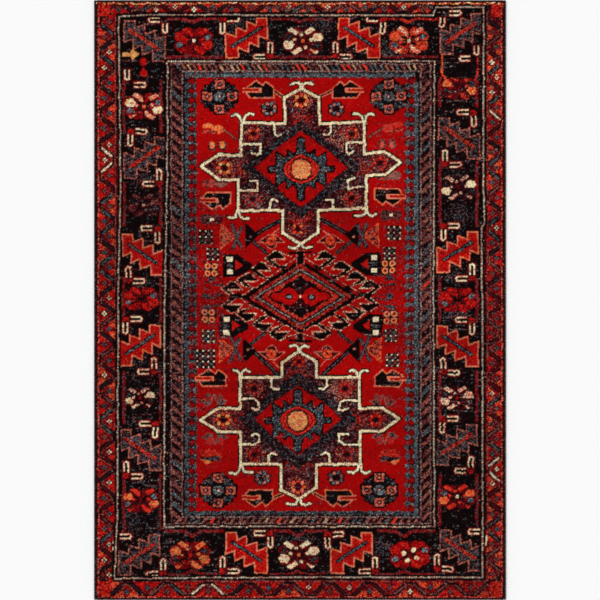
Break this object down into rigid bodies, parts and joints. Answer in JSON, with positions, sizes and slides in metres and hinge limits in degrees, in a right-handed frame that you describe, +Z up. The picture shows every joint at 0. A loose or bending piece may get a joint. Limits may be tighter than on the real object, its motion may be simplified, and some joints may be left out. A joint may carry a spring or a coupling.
{
  "type": "area rug",
  "caption": "Rectangular woven area rug with cut pile, two stepped medallions, nested patterned borders and dark overcast edges; lies flat on a floor.",
  "frame": {"origin": "middle of the underside, on the floor the rug lies on", "axes": "+X across the width, +Y along the length towards the end with the taller medallion, +Z up through the pile"},
  "size_m": [1.6, 2.33, 0.011],
  "materials": {
    "latex": "matt, slightly translucent size coat that shows the weave",
    "ground_yarn": "undyed jute and cotton, flat weave",
    "edge_cord": "undyed twisted cotton cord",
    "serging_yarn": "dark maroon overcast wool yarn, soft sheen",
    "minor_border_pile": "cut wool-type pile, red ground with dark zigzag, soft sheen",
    "guard_pile": "cut wool-type pile, cream line edged with black",
    "main_border_pile": "cut wool-type pile, black ground with leaves and rosettes",
    "reciprocal_border_pile": "cut wool-type pile, slate blue against dark plum",
    "field_pile": "cut wool-type pile, clear red field",
    "medallion_pile": "cut wool-type pile, mottled plum inside a cream outline",
    "lozenge_pile": "cut wool-type pile, red and slate blue lozenge"
  },
  "bodies": {
    "root": {"latex_back_coat": "latex", "lower_weft": "ground_yarn", "stuffer_warp": "ground_yarn", "dead_pile_yarn": "ground_yarn", "upper_weft": "ground_yarn", "left_edge_cord": "edge_cord", "left_edge_serging": "serging_yarn", "right_edge_cord": "edge_cord", "right_edge_serging": "serging_yarn", "top_edge_cord": "edge_cord", "top_edge_serging": "serging_yarn", "bottom_edge_cord": "edge_cord", "bottom_edge_serging": "serging_yarn", "outer_minor_border_left": "minor_border_pile", "outer_minor_border_right": "minor_border_pile", "outer_minor_border_top": "minor_border_pile", "outer_minor_border_bottom": "minor_border_pile", "outer_guard_left": "guard_pile", "outer_guard_right": "guard_pile", "outer_guard_top": "guard_pile", "outer_guard_bottom": "guard_pile", "main_border_left": "main_border_pile", "main_border_right": "main_border_pile", "main_border_top": "main_border_pile", "main_border_bottom": "main_border_pile", "inner_guard_left": "guard_pile", "inner_guard_right": "guard_pile", "inner_guard_top": "guard_pile", "inner_guard_bottom": "guard_pile", "inner_minor_border_left": "minor_border_pile", "inner_minor_border_right": "minor_border_pile", "inner_minor_border_top": "minor_border_pile", "inner_minor_border_bottom": "minor_border_pile", "reciprocal_border_left": "reciprocal_border_pile", "reciprocal_border_right": "reciprocal_border_pile", "reciprocal_border_top": "reciprocal_border_pile", "reciprocal_border_bottom": "reciprocal_border_pile", "field_pile": "field_pile", "top_medallion_pile": "medallion_pile", "bottom_medallion_pile": "medallion_pile", "center_lozenge_pile": "lozenge_pile"}
  },
  "joints": []
}
